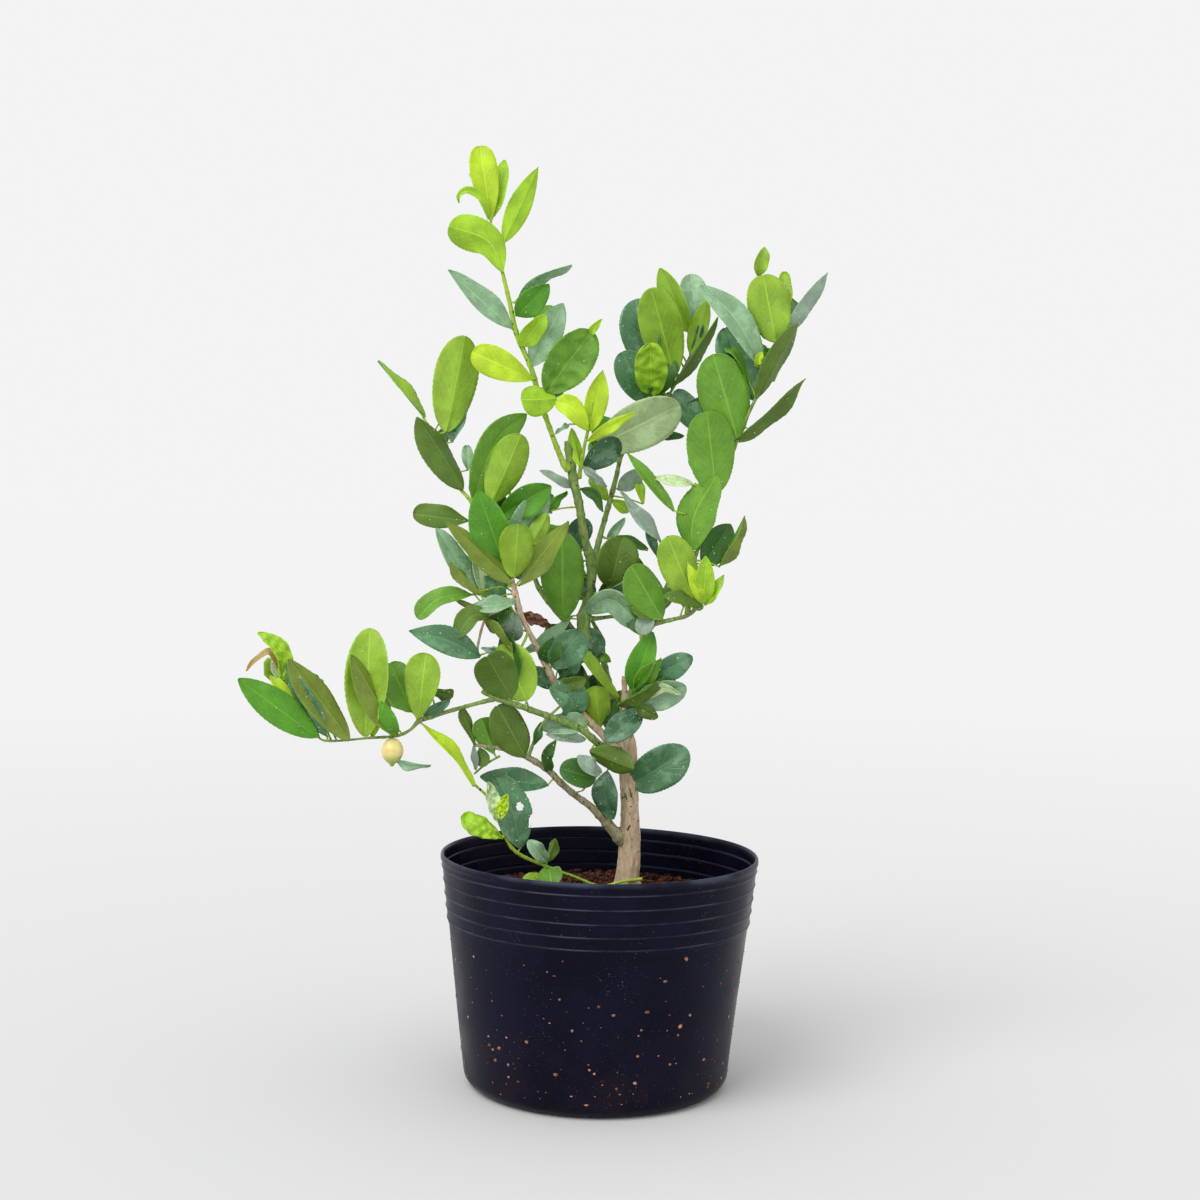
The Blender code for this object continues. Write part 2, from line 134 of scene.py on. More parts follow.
def leaf_mat(name, hexa, wet):
    c = scaled(lin(hexa), 1.0)
    M = Mat(name, 0.3 if wet else 0.45, 0.5 if wet else 0.35)
    uv = M.n("ShaderNodeUVMap", uv_map="Leaf").outputs[0]
    xyz = M.n("ShaderNodeSeparateXYZ", {0: uv})
    a = M.math('ABSOLUTE', M.math('SUBTRACT', xyz.outputs[0], 0.5))
    rib = M.ramp(a, 0.008, 0.024, 1, 0)
    wob = M.math('MULTIPLY', M.noise(30, 1), 0.9)
    k = M.math('ADD', M.math('SUBTRACT', M.math('MULTIPLY', xyz.outputs[1], 9.0), M.math('MULTIPLY', a, 6.5)), wob)
    tri = M.math('ABSOLUTE', M.math('SUBTRACT', M.math('FRACT', k), 0.5))
    vein = M.math('MULTIPLY', M.ramp(tri, 0.02, 0.10, 1, 0), M.ramp(a, 0.30, 0.48, 1, 0.1))
    rim = M.ramp(a, 0.465, 0.497)
    mott, fine = M.noise(60, 3), M.noise(620, 3)
    col = M.mix(M.ramp(mott, 0.35, 0.7), scaled(c, 0.84), scaled(c, 1.14))
    col = M.mix(M.math('MULTIPLY', M.ramp(fine, 0.45, 0.75), 0.35), col, [min(x * 1.35 + 0.02, 1) for x in c])
    pale = [min(x * 1.5 + y, 1) for x, y in zip(c, (0.06, 0.07, 0.015))]
    if wet:
        # painted reflection: pale, bluish patches standing for the wet film's sheen
        painted_wet_sheen = M.ramp(M.noise(85, 4), 0.50, 0.64, 0, 0.55)
        col = M.mix(painted_wet_sheen, col, [min(x * 1.1 + y, 1) for x, y in zip(c, (0.12, 0.17, 0.13))])
    col = M.mix(M.math('MULTIPLY', vein, 0.22), col, pale)
    col = M.mix(M.math('MULTIPLY', rib, 0.6), col, pale)
    col = M.mix(M.math('MULTIPLY', rim, 0.55), col, pale)
    h = M.math('ADD', M.math('MULTIPLY', vein, -0.6), M.math('MULTIPLY', fine, 0.3))
    r = M.ramp(mott, 0.3, 0.7, 0.2 if wet else 0.36, 0.42 if wet else 0.55)
    return M.out(col, r, h, 0.35, 0.0006)


# the teal, grey and pale greens of the wet tints g, h, k, l and o are painted reflection of the sky on wet, glossy
# leaves
TINTS = dict(a="b6d82a", b="9cc82a", c="8fb534", d="66992c", e="52921f", f="3a6822", g="4a7a50", h="84aa80",
             i="758a30", j="587626", k="b8d098", l="36603e", m="b9a060", n="6b4430", o="869c88")
WET_AND_SKY_TINTED = set("ghklo")
OTHER = dict(a="a", b="b", c="d", d="c", e="c", f="i", g="i", h="c", i="e", j="e", k="c", l="i", m="m", n="n", o="c")
mats = {}


def tint(t):
    if t not in mats:
        mats[t] = leaf_mat("leaf_" + t, TINTS[t], t in WET_AND_SKY_TINTED)
    return mats[t]


def bark_mat(name, pale, dark, green):
    M = Mat(name, 0.8, 0.3)
    co = M.n("ShaderNodeTexCoord").outputs["Object"]
    st = M.n("ShaderNodeMapping", {0: co, 3: (1, 1, 0.22)}).outputs[0]
    streak = M.noise(420, 5, st, 0.65)
    patch = M.noise(55, 3, co)
    spots = M.ramp(M.noise(230, 2, co), 0.64, 0.69)
    col = M.mix(M.ramp(streak, 0.3, 0.7), lin(dark), lin(pale))
    col = M.mix(M.ramp(patch, 0.5, 0.75, 0, 0.5), col, lin(green))
    col = M.mix(spots, col, lin("4a3326"))
    return M.out(col, None, streak, 0.6, 0.001)


MB = bark_mat("bark", "dcc6a8", "b2967a", "b4a488")
MM = bark_mat("grey_bark", "b8b08c", "80805e", "8c9668")
MG = bark_mat("green_bark", "94ad62", "5c7c36", "8b7a55")
MY = bark_mat("young_bark", "b4cc50", "84ac2c", "9cbc3c")

pieces = {}


# ---------------------------------------------------------------- mesh gathering
class Bag:
    """Gathers closed shapes that are joined into one piece."""
    def __init__(self):
        self.v, self.f, self.uv, self.mi, self.n, self.rects = [], [], [], [], 0, []

    def add(self, v, f, uv, mi, rect):
        # uv is per face corner in 0..1 of this shape's own cell, rect its (width, height, part) list
        self.v.append(np.asarray(v, float))
        self.f += [tuple(i + self.n for i in q) for q in f]
        self.uv += uv
        self.mi += mi
        self.n += len(v)
        self.rects.append((rect, len(f)))


def make(name, bag, materials, nodes=()):
    me = bpy.data.meshes.new(name)
    me.from_pydata(np.concatenate(bag.v).tolist(), [], bag.f)
    for mt in materials:
        me.materials.append(mt)
    me.polygons.foreach_set("material_index", bag.mi)
    flat = np.array([c for q in bag.uv for c in q], float)
    me.uv_layers.new(name="Leaf").data.foreach_set("uv", flat[:, :2].ravel())
    # the bake map: a grid of cells, two for each shape
    cells = math.ceil(math.sqrt(2 * len(bag.rects)))
    cell_of = []
    for k, (r, nf) in enumerate(bag.rects):
        cell_of += [k] * nf
    sizes = np.array([len(q) for q in bag.f])
    k = np.repeat(np.array(cell_of), sizes) * 2 + (flat[:, 2] > 0.5)
    own = np.empty((len(flat), 2))
    own[:, 0] = ((k % cells) + 0.04 + 0.92 * np.clip(flat[:, 0], 0, 1)) / cells
    own[:, 1] = ((k // cells) + 0.04 + 0.92 * np.clip(flat[:, 1], 0, 1)) / cells
    me.uv_layers.new(name="OFBake").data.foreach_set("uv", own.ravel())
    me.shade_smooth()
    me.update()
    ob = bpy.data.objects.new(name, me)
    bpy.context.scene.collection.objects.link(ob)
    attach(ob, "root")
    if nodes:
        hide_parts(*nodes)
    return ob


def spline(pts, n):
    p = np.array(pts, float)
    if len(p) == 2:
        return p[0] + (p[1] - p[0]) * np.linspace(0, 1, n)[:, None]
    e = np.vstack([2 * p[0] - p[1], p, 2 * p[-1] - p[-2]])
    fine = []
    for i in range(1, len(e) - 2):
        a, b, c, d = e[i - 1:i + 3]
        t = np.arange(0, 1, 1 / 12)[:, None]
        fine.append(0.5 * (2 * b + (c - a) * t + (2 * a - 5 * b + 4 * c - d) * t ** 2 + (d - a - 3 * c + 3 * b) * t ** 3))
    fine = np.vstack(fine + [p[-1:]])
    s = np.concatenate([[0], np.cumsum(np.linalg.norm(np.diff(fine[:, :3], axis=0), axis=1))])
    return np.stack([np.interp(np.linspace(0, s[-1], n), s, fine[:, k]) for k in range(fine.shape[1])], 1)


def unit(a):
    return a / (np.linalg.norm(a, axis=-1, keepdims=True) + 1e-12)


def tube(bag, pts, sides=10, step=0.002, relief=0.05, mat=0, collar=0.0, seed=0):
    """pts are x, y, z, radius; a tapering limb with ridges, knots and closed ends."""
    p = np.array(pts, float)
    length = np.linalg.norm(np.diff(p[:, :3], axis=0), axis=1).sum()
    n = max(5, int(length / step))
    q = spline(p, n)
    tan = unit(np.gradient(q[:, :3], axis=0))
    side = np.array((1.0, 0.02, 0.01))
    ang = np.linspace(0, 2 * math.pi, sides, endpoint=False)
    s = np.linspace(0, length, n)
    v = []
    for i in range(n):
        side = unit(side - tan[i] * side.dot(tan[i]))
        dep = np.cross(tan[i], side)
        d = np.cos(ang)[:, None] * side + np.sin(ang)[:, None] * dep
        r = np.full(sides, q[i, 3])
        if collar:
            r *= 1 + collar * math.exp(-(s[i] / (2.4 * q[0, 3])) ** 2)
            r *= 1 + .17 * math.exp(-((s[i] % .0165 - .009 + .003 * math.sin(s[i] // .0165 * 2.4 + seed)) / .0017) ** 2)
        for j in range(sides):
            w = Vector((d[j][0] * 3.2, d[j][1] * 3.2, s[i] * 45 + seed * 7.3))
            r[j] *= 1 + relief * (1.6 * noise.noise(w * 1.3) + 0.9 * noise.noise(Vector((w.x * 2.6, w.y * 2.6, w.z * 0.5 + 9))) + 0.6 * noise.noise(w * 4.1))
        if i in (0, n - 1):
            r *= 0.93
        v.append(q[i, :3] + d * r[:, None])
    v = np.vstack(v + [q[:1, :3], q[-1:, :3]])
    f, uv = [], []
    for i in range(n - 1):
        for j in range(sides):
            a, b = i * sides + j, i * sides + (j + 1) % sides
            f.append((a, b, b + sides, a + sides))
            x0, x1, y0, y1 = j / sides, (j + 1) / sides, i / n, (i + 1) / n
            uv.append(((x0, y0, 0), (x1, y0, 0), (x1, y1, 0), (x0, y1, 0)))
    for j in range(sides):
        k = (j + 1) % sides
        f += [(n * sides, k, j), (n * sides + 1, (n - 1) * sides + j, (n - 1) * sides + k)]
        for _ in (0, 1):
            a0, a1 = ang[j], ang[k]
            c = 0.25 if _ == 0 else 0.75
            uv.append(((c, .5, 1), (c + .2 * math.cos(a0), .5 + .2 * math.sin(a0), 1), (c + .2 * math.cos(a1), .5 + .2 * math.sin(a1), 1)))
    bag.add(v, f, uv, [mat] * len(f), (1, 1))


# ---------------------------------------------------------------- limbs, as u, v, depth, radius in mm
LIMBS = """
trunk b: 627 886 .004 13.5, 627.3 878 .004 11.4, 629 860 .004 10.3, 630 840 .004 9.7, 629.8 820 .003 8.9, 629.5 798 .003 8.3, 628.5 775 .002 8.7, 626.5 752 .001 10, 625 738 0 9, 624.5 728 0 6
cut_leader_stub b: 624.5 742 .001 5.5, 624 715 .002 3.6, 624.5 690 .003 2.7, 624.5 676 .004 2.5
low_left_bough m: 624 842 .003 4.8, 612 829 -.002 5.2, 603 818 -.006 4.6, 590 806 -.012 3.4, 575 795 -.018 3, 560 782 -.024 3.1, 548 770 -.028 2.9, 527 757 -.034 2.7, 512 752 -.037 2.3, 500 748 -.04 2.1, 475 745 -.045 1.5
long_left_bough g: 622 760 -.002 4.6, 612 752 -.004 4.4, 600 745 -.012 3.6, 582 730 -.022 3.2, 565 722 -.029 3, 548 716 -.036 2.9, 520 706 -.047 2.7, 508 702 -.051 2.9, 498 699 -.055 2.6, 490 695 -.058 2.3, 482 691 -.06 2.1
left_bough b: 621 756 .001 4.6, 606 738 -.002 4, 590 722 -.006 3.6, 570 700 -.01 3.4, 556 685 -.014 3.3, 542 657 -.02 3, 528 630 -.026 2.4, 520 613 -.03 3, 516 597 -.032 2.9, 512 578 -.033 1.8
centre_bough g: 624 742 .002 6, 617 725 .004 5.4, 608 710 .006 5, 597 670 .01 4.6, 588 640 .012 4.9, 584 628 .013 6.4, 584 616 .013 6.2, 587 602 .013 4.4, 590 590 .014 4, 592 564 .014 5.2, 585 540 .012 3.9, 579 504 .008 3.9, 574 483 .005 4.2, 571 465 .003 4.2, 568 441 0 3.7
back_bough g: 625 748 .004 4.6, 618 715 .04 3.8, 606 672 .078 3.2, 600 636 .104 2.6
right_bough g: 627 742 -.001 4.4, 629 715 -.006 3.7, 632 690 -.012 3.4, 636 665 -.019 3.2, 641 645 -.025 3, 652 625 -.032 3, 662 622 -.035 2.2, 675 619 -.038 1.9, 688 615 -.042 1.9, 704 602 -.046 1.2
right_twig g: 584 620 .013 3, 600 618 .012 2, 615 616 .01 1.6, 628 614 .008 1.3
back_left_bough g: 588 650 .012 3.4, 566 622 .04 3, 540 590 .062 2.5, 530 560 .076 2.1
back_right_bough g: 635 668 -.017 3.2, 648 634 .012 2.7, 662 596 .046 2.1
centre_right_shoot g: 593 564 .015 3.2, 602 529 .022 2.6, 611 497 .031 2.5, 616 478 .038 2.3, 622 455 .047 1.8, 638 432 .056 1.6, 661 405 .069 1.5, 672 390 .078 1.3, 690 356 .088 .9
leader_shoot y: 569 470 .001 3, 562 460 -.002 2.7, 551 432 -.006 2.4, 541 403 -.009 2.4, 531 368 -.012 2.4, 517 335 -.014 2.3, 510 304 -.014 2, 505 283 -.014 1.8, 497 250 -.013 1.4, 491 222 -.012 .9
right_upper_shoot g: 688 614 -.043 1.8, 692 575 -.041 1.6, 697 552 -.04 1.6, 708 520 -.0385 1.6, 723 482 -.038 1.7, 738 438 -.039 1.7, 754 402 -.04 1.5, 775 362 -.042 1.2, 790 334 -.044 .8
low_shoot y: 642 879 -.006 1.3, 625 881 -.012 1.4, 600 886 -.022 1.4, 575 877 -.032 1.3, 548 867 -.044 1.5, 515 851 -.052 1.7, 500 824 -.056 1.6, 490 800 -.06 1.4, 473 783 -.063 1
+long_shoot g long_left_leaves: 494 699 -.057 2.1, 460 708 -.068 1.7, 430 717 -.08 2.2, 419 721 -.083 2.2, 410 730 -.088 1.3, 396 736 -.092 1.4, 368 738 -.1 1.1, 331 741 -.11 1, 317 736 -.112 .9, 298 712 -.111 .8, 283 678 -.108 .7, 272 647 -.106 .5
+left_top_shoot y left_top_leaves: 513 584 -.032 2, 494 545 -.022 1.8, 471 502 -.013 1.7, 458 485 -.009 1.6, 437 441 .003 1.4, 416 405 .013 .9
+lime_shoot y lime_shoot_leaves: 579 478 .006 2, 584 448 -.008 1.6, 588 430 -.014 1.3, 593 402 -.022 .7
+under_twig b left_under_leaves: 514 600 -.032 2, 500 610 -.037 1.5, 486 618 -.04 1.3, 478 645 -.046 1.1, 479 658 -.048 .9
+fork_twig_a y left_under_leaves: 520 614 -.03 1.4, 528 630 -.027 1.3, 520 650 -.031 1.1
+fork_twig_b y left_under_leaves: 528 630 -.027 1.2, 534 640 -.024 1.2, 540 652 -.02 1
+hang_twig g left_hanging_leaves: 528 757 -.034 1.6, 541 726 -.038 1.3, 560 706 -.034 1.2
+low_twig g low_left_leaves: 500 756 -.039 1, 486 764 -.043 1, 474 774 -.047 .9
+thorn g low_left_leaves: 573 794 -.019 1.3, 578 792 -.024 .8, 582 791 -.028 .2
+back_low_twig g back_low_leaves: 600 636 .104 2.2, 588 610 .116 1.6, 590 590 .12 1
+back_left_twig g back_left_leaves: 530 560 .076 2, 515 520 .088 1.5, 508 480 .092 .9
+back_right_twig g back_right_leaves: 662 596 .046 2, 680 555 .076 1.5, 694 505 .092 .9
"""
routes, limb_of = {}, {}
for ln in LIMBS.strip().splitlines():
    head, body = ln.split(":")
    w = head.split()
    name = w[0].lstrip("+")
    pts = [[float(x) for x in c.split()] for c in body.split(",")]
    xyz = [list(at(*c[:3])) + [c[3] / 1000] for c in pts]
    if name == "trunk":
        xyz.insert(0, [xyz[0][0], xyz[0][1], 0.168, 0.0145])
    routes[name] = spline(xyz, 160)
    bag = Bag()
    big = name == "trunk"
    tube(bag, xyz, 44 if big else 18, 0.0011 if big else 0.0016, 0.075 if big else 0.06,
         collar=0 if big else 0.35, seed=len(routes))
    make(name + "_wood", bag, [dict(b=MB, m=MM, g=MG, y=MY)[w[1]]],
         (name,) if ln[0] != "+" else ())

# ---------------------------------------------------------------- leaves
FORM = dict(o=(.62, .50), e=(.70, .74), b=(.85, .42), l=(.80, .95), r=(.52, .42), s=(.55, .75))


def leaf(bag, path, w, turn, face, form, rng, fold=14, arch=0.003, fine=True, crinkle=0.0, holes=()):
    """One closed leaf along path (points of the midrib), its shown face towards the camera."""
    nt, ns = (90, 27) if holes else (46, 13) if fine else (24, 9)
    tau = np.linspace(0, 1, nt)
    t = 0.5 * (0.5 - 0.5 * np.cos(math.pi * tau)) + 0.5 * tau
    p = spline([list(x) for x in path], 81)
    p = np.stack([np.interp(t, np.linspace(0, 1, 81), p[:, k]) for k in range(3)], 1)
    tan = unit(np.gradient(p, axis=0))
    view = unit(p - EYE)
    S = unit(np.cross(tan, view))
    N = np.cross(tan, S)
    p = p + N * (arch * 4 * t * (1 - t))[:, None]
    length = np.linalg.norm(np.diff(p, axis=0), axis=1).sum()
    b, a = FORM[form]
    h = (t + .002) ** b * (1 - t + .001) ** a
    h = h / h.max() * w / 2
    if fine:
        h = h * (1 + 0.014 * np.sin(t * 2 * math.pi * 17 + rng.random() * 6) * (t > .12))
    h = np.maximum(h, 0.0006)
    th = math.radians(turn) + math.radians(rng.uniform(-12, 12)) * (t - .4)
    S2 = np.cos(th)[:, None] * S + np.sin(th)[:, None] * N
    N2 = -np.sin(th)[:, None] * S + np.cos(th)[:, None] * N
    k = 1 if face == "U" else -1
    fo = math.radians(fold)
    s = np.linspace(-1, 1, ns)
    ph, wv = rng.random() * 6.28, rng.uniform(.5, 1.5) * 0.0015
    cup = rng.uniform(-.25, .35)
    P = np.empty((nt, ns, 3))
    for j, sj in enumerate(s):
        r = h * sj
        lift = np.abs(r) * math.sin(fo) + cup * r * r / (w / 2) * 0.6
        lift = lift + wv * np.sin(t * (9 + 2 * np.sign(sj)) + ph + sj) * sj * sj
        lift = lift - 0.0005 * math.exp(-(sj / .10) ** 2) + 0.00022 * np.cos(2 * math.pi * (9 * t - 3.2 * abs(sj))) * abs(sj) ** .5 * (h / h.max())
        if crinkle:
            lift = lift + crinkle * np.array([noise.noise(Vector((x * 9 + ph, sj * 2.2, ph))) for x in t])
        P[:, j] = p - S2 * (r * math.cos(fo))[:, None] + N2 * (k * lift)[:, None]
    nrm = unit(np.cross(np.gradient(P, axis=0), np.gradient(P, axis=1)))
    if (nrm * N2[:, None, :]).sum() < 0:
        nrm = -nrm
    up = nrm * k          # the direction of the upper face
    thick = 0.00034 + 0.0009 * np.exp(-(np.abs(s)[None, :] * h[:, None] / .0009) ** 2) * (1.1 - t)[:, None]
    low = P - up * thick[..., None]
    v = np.concatenate([P.reshape(-1, 3), low.reshape(-1, 3)])
    f, uv, mi = [], [], []
    off = nt * ns
    # which way round makes the upper sheet face up
    e1, e2 = P[nt // 2, 1 + ns // 2] - P[nt // 2, ns // 2], P[nt // 2 + 1, ns // 2] - P[nt // 2, ns // 2]
    flip = np.dot(np.cross(e1, e2), up[nt // 2, ns // 2]) < 0
    us = (s + 1) / 2
    gone = set()
    for (ht, hs, rt, rs) in holes:
        for i in range(nt - 1):
            for j in range(ns - 1):
                if ((t[i] - ht) / rt) ** 2 + ((s[j] + 1 / (ns - 1) - hs) / rs) ** 2 < 1:
                    gone.add((i, j))
    for i in range(nt - 1):
        for j in range(ns - 1):
            if (i, j) in gone:
                continue
            q = [(i, j), (i, j + 1), (i + 1, j + 1), (i + 1, j)]
            for lower in (0, 1):
                o = q if flip == bool(lower) else q[::-1]
                f.append(tuple(x * ns + y + off * lower for x, y in o))
                uv.append(tuple((us[y], t[x], lower) for x, y in o))
                mi.append(lower)
    edges = {}
    for (i, j) in [(i, j) for i in range(nt - 1) for j in range(ns - 1) if (i, j) not in gone]:
        q = [(i, j), (i, j + 1), (i + 1, j + 1), (i + 1, j)]
        if flip:
            q = q[::-1]
        q = q[::-1] if not flip and False else q
        for x, y in zip(q, q[1:] + q[:1]):
            if (y, x) in edges:
                del edges[(y, x)]
            else:
                edges[(x, y)] = 1
    for (x, y) in edges:
        a0, b0 = x[0] * ns + x[1], y[0] * ns + y[1]
        quad = (a0, b0, b0 + off, a0 + off)
        if not flip:
            quad = quad
        f.append(quad[::-1] if not flip else quad[::-1])
        c = ((us[x[1]], t[x[0]], 0), (us[y[1]], t[y[0]], 0), (us[y[1]], t[y[0]], 0), (us[x[1]], t[x[0]], 0))
        uv.append(c[::-1])
        mi.append(0)
    bag.add(v, f, uv, mi, (w, length))
    return P, up * k


# base u v, tip u v, width px, turn, depth from base to tip mm, face and tint, form; c crinkled, vU,V a bend
LEAVES = """
@leader_top_leaves leader_shoot
491 221 480 146 29 8 4 Ua b
494 216 505 160 20 -25 14 Ub e
485 198 471 172 8 50 6 Lb e
489 219 459 203 9 10 -4 Ub s v482,198 v468,190 v459,195
503 243 538 167 24 10 10 Lb l
503 272 449 226 36 5 -10 Lb b v488,241
478 248 466 243 7 20 0 Li e
@leader_leaves leader_shoot
513 329 448 270 25 25 -6 Uh l
515 303 572 265 19 50 -10 Uh e v530,287 v552,272
517 316 549 284 27 10 -14 Ue e
520 347 546 314 22 20 -12 Ub e
532 366 563 303 31 -10 -4 Uh e
533 380 472 352 32 5 -12 Ua b
546 392 592 331 46 5 -8 Ud o c
588 335 602 319 8 0 -9 Ub s
556 399 521 400 32 15 -14 Lb o
@lime_shoot_leaves lime_shoot
588 431 556 401 22 10 -8 Ua b v572,408
590 431 603 370 24 5 2 Ua l
579 466 571 428 14 20 -6 Lb e
569 424 555 434 6 30 -5 Uh e
588 441 636 412 12 20 -6 Ua s v604,430
583 468 620 441 27 10 10 Ul o
@left_top_leaves left_top_shoot
446 432 465 336 47 8 -8 Lc o
452 442 461 392 22 -20 16 Ug o
425 417 378 361 26 66 6 Uc l
463 489 417 417 40 42 -12 Lj e
473 499 527 414 36 20 6 Ud e v497,440
491 503 521 434 39 8 -8 Lc o
468 470 467 446 12 0 12 Uh o
480 497 478 462 14 10 12 Ug o
@left_hub_leaves left_bough
470 521 413 514 27 25 -10 Uj b
500 516 551 486 33 10 4 Ue e
546 512 567 491 10 30 8 Ue l
503 562 478 491 42 -15 -14 Ue e
512 583 447 521 26 38 -18 Li l
514 577 518 524 35 0 -26 Lc r
519 586 568 521 30 -40 -16 Li l
563 620 562 533 45 0 -22 Ld o
508 542 549 492 32 15 12 Uh e
530 545 548 514 19 10 10 Lc o
560 560 588 519 26 10 24 Ul o
478 592 436 528 28 40 -6 Uh e
480 594 450 562 18 50 -12 Li e
482 592 476 548 15 20 4 Uk e
500 597 494 565 25 0 8 Ug o
@left_under_leaves under_twig
474 594 417 618 24 35 -8 Ud b v440,598
477 609 455 600 6 0 -4 Li s
489 616 456 638 23 25 -12 Uj o v472,616
516 602 474 608 19 30 -8 Uh o
508 606 490 632 21 30 4 Uf o
486 620 512 652 22 66 -4 Li e
480 657 409 631 30 15 -8 Ug l v446,640
514 612 510 640 25 10 10 Uo o
521 612 551 627 14 30 8 Un e c
@left_hanging_leaves long_left_bough
511 698 487 656 43 0 -32 Lj r
527 700 500 645 46 5 4 Uc r
497 652 481 648 7 0 -6 Uo s
552 688 529 668 19 15 6 Ug o
525 757 497 706 38 12 -14 Lj o
494 754 481 718 27 8 -6 Ld b
480 748 484 767 15 10 -4 Lj o
474 745 476 770 8 30 4 Uo s
475 745 462 708 13 30 -6 Lj b
534 745 541 722 10 30 2 Uf e
549 772 557 740 15 35 -6 Uf s v546,755
@long_left_leaves long_shoot
317 737 238 679 35 12 -10 Ue e
327 737 286 664 25 -35 -8 Ug e
349 740 288 659 34 28 -18 Li e
365 737 370 628 45 -8 8 Uc o
396 736 350 655 33 38 -18 Li e
396 736 381 701 18 -20 -12 Ue e
412 712 390 663 36 10 10 Ud r
418 719 426 653 37 -15 -6 Uc b
430 690 453 697 17 30 8 Uj b
424 716 450 700 13 25 6 Ug s
283 680 258 632 17 15 -6 Ub e c v284,656 v272,641
281 672 246 671 8 30 -6 Um s v270,652 v256,660
284 684 275 655 15 -10 6 Uk o
300 712 270 675 14 25 4 Ua e
372 737 378 698 16 10 14 Ua o
393 759 431 765 9 30 -6 Uh s v410,766
@low_shoot_tip_leaf low_shoot
474 786 419 721 19 52 -14 Ua l v450,751
@low_shoot_leaves low_shoot
503 838 461 817 23 20 -10 Ub b c
500 824 488 782 16 15 -6 Uk e c v494,800
499 818 507 794 13 -10 -8 Ua e c
521 848 496 777 40 18 8 Ug o v511,806
547 862 528 841 17 20 -10 Uh o
548 861 556 839 14 -35 -6 Lj e
549 868 552 888 27 10 -14 Ud r
541 878 523 881 15 20 -10 Uc r
@low_left_leaves low_left_bough
548 785 480 777 26 22 -6 Ug e v512,781
@lower_centre_leaves centre_bough
553 667 582 631 38 10 -12 Ug o
545 662 557 636 24 10 -12 Uf e
572 616 521 655 18 40 -10 Uh e v552,638
588 628 598 656 26 15 -6 Ul o
597 652 611 662 10 20 -4 Ud e
618 698 572 637 15 35 -16 Uc l
600 662 580 652 13 10 4 Uc o
558 680 585 660 9 30 4 Ug s
556 688 586 679 17 20 -8 Uj o
592 696 601 674 22 10 6 Ul o
578 716 549 688 36 12 -14 Ug e v569,697
588 722 540 728 24 15 -18 Uh e
585 740 546 734 14 25 -12 Uo e
600 727 595 686 28 0 -26 Lc r
606 727 614 699 17 15 -4 Uf o
596 779 560 768 30 10 -10 Uf r
600 774 577 757 18 30 -14 Uo o
590 751 634 769 28 25 -18 Lj e
607 771 614 819 27 20 -8 Ul e v605,795
@lower_right_leaves right_bough
617 706 665 677 26 62 -16 Uj s
632 690 653 632 28 -12 -14 Ue e
635 687 661 658 21 30 -20 Ud l
648 680 692 656 26 18 -10 Ug o
634 702 686 686 32 20 -10 Uh o
636 701 681 694 12 20 -16 Uk s v660,688
632 706 658 717 15 20 -8 Uj o
641 711 606 741 28 10 -20 Ul o
@low_right_leaves trunk
630 786 688 750 45 12 -12 Ug o
622 776 633 808 8 20 -4 Uf s
@centre_leaves centre_right_shoot
580 489 603 512 12 25 -6 Uf l v595,495
583 467 607 487 10 25 -6 Uo l
607 500 591 476 15 15 8 Uc o
612 462 591 466 8 10 6 Ua s
612 500 630 511 13 10 8 Ub o
618 490 643 470 19 15 6 Uo e
662 543 620 492 17 35 -4 Uo l
674 511 627 452 16 35 8 Ud l
692 484 653 477 13 30 8 Uk s
643 504 638 478 10 20 10 Ub o
658 557 646 527 10 20 8 Ul e
648 550 616 536 12 25 6 Uf e
607 539 625 518 10 20 6 Uh s
610 587 623 537 43 10 -8 Uj r
606 597 641 584 19 20 -8 Uo o
584 612 640 628 27 20 -14 Uh o v612,600
590 603 587 577 15 20 6 Ul o
571 487 540 470 11 30 -6 Uo s
@broad_pale_leaves centre_right_shoot
598 446 680 405 50 12 -4 Uk o
655 434 684 436 10 20 6 Uf s
@inner_top_leaves centre_right_shoot
650 372 636 299 42 -15 10 Ug o
674 374 651 288 43 5 -19 Lc o
690 332 660 268 28 -25 -2 Uc e
700 336 690 274 31 10 12 Uh o
692 357 707 300 21 20 -6 Lc e
692 352 705 316 9 35 -2 Ul s
672 388 718 317 24 64 -8 Uj l
652 395 650 343 33 0 -24 Ub r c
645 402 622 352 36 15 -4 Ug r
662 393 672 358 20 -15 2 Uf o
700 432 676 390 28 20 6 Ug o
@right_lower_leaves right_bough
662 619 631 566 40 15 -14 Ld o
694 602 668 537 39 8 -16 Lc o
703 566 731 524 32 10 8 Uf e
720 567 745 516 24 62 -6 Ui l
703 604 688 563 14 10 -10 Ua l
704 604 706 556 20 0 -14 Ub e
705 605 724 575 14 -20 -8 Ub l
703 608 663 594 20 45 -14 Uj e
655 618 628 607 14 35 -8 Uj e
650 614 640 634 19 10 -6 Uo r
@right_middle_leaves right_upper_shoot
692 550 717 476 46 -30 -8 Ld e v695,515
716 493 707 412 50 5 -14 Ld r
@right_top_leaves right_upper_shoot
762 366 700 285 30 25 -4 Uh e v735,318
754 400 725 328 41 10 10 Ug o
737 438 713 354 51 5 -12 Ld o
776 342 763 275 43 0 -8 Lc r
758 276 765 247 15 10 -4 Uc e
786 312 784 272 15 10 6 Uc o
786 334 828 273 19 35 6 Uo l
757 398 798 324 32 48 -12 Lj e
738 441 806 379 28 52 -6 Uj l
756 366 762 352 8 0 -4 Ua r
"""
rng = random.Random(11)
bags, stalks, stalk_kind, made = {}, {}, {}, []
drops = Bag()
stage_mask = np.zeros((300, 300), bool)


def near_on(route, uv):
    pr = np.array([seen(q) for q in route[:, :3]])
    i = int(np.argmin(((pr - uv) ** 2).sum(1)))
    return i, math.dist(pr[i], uv)


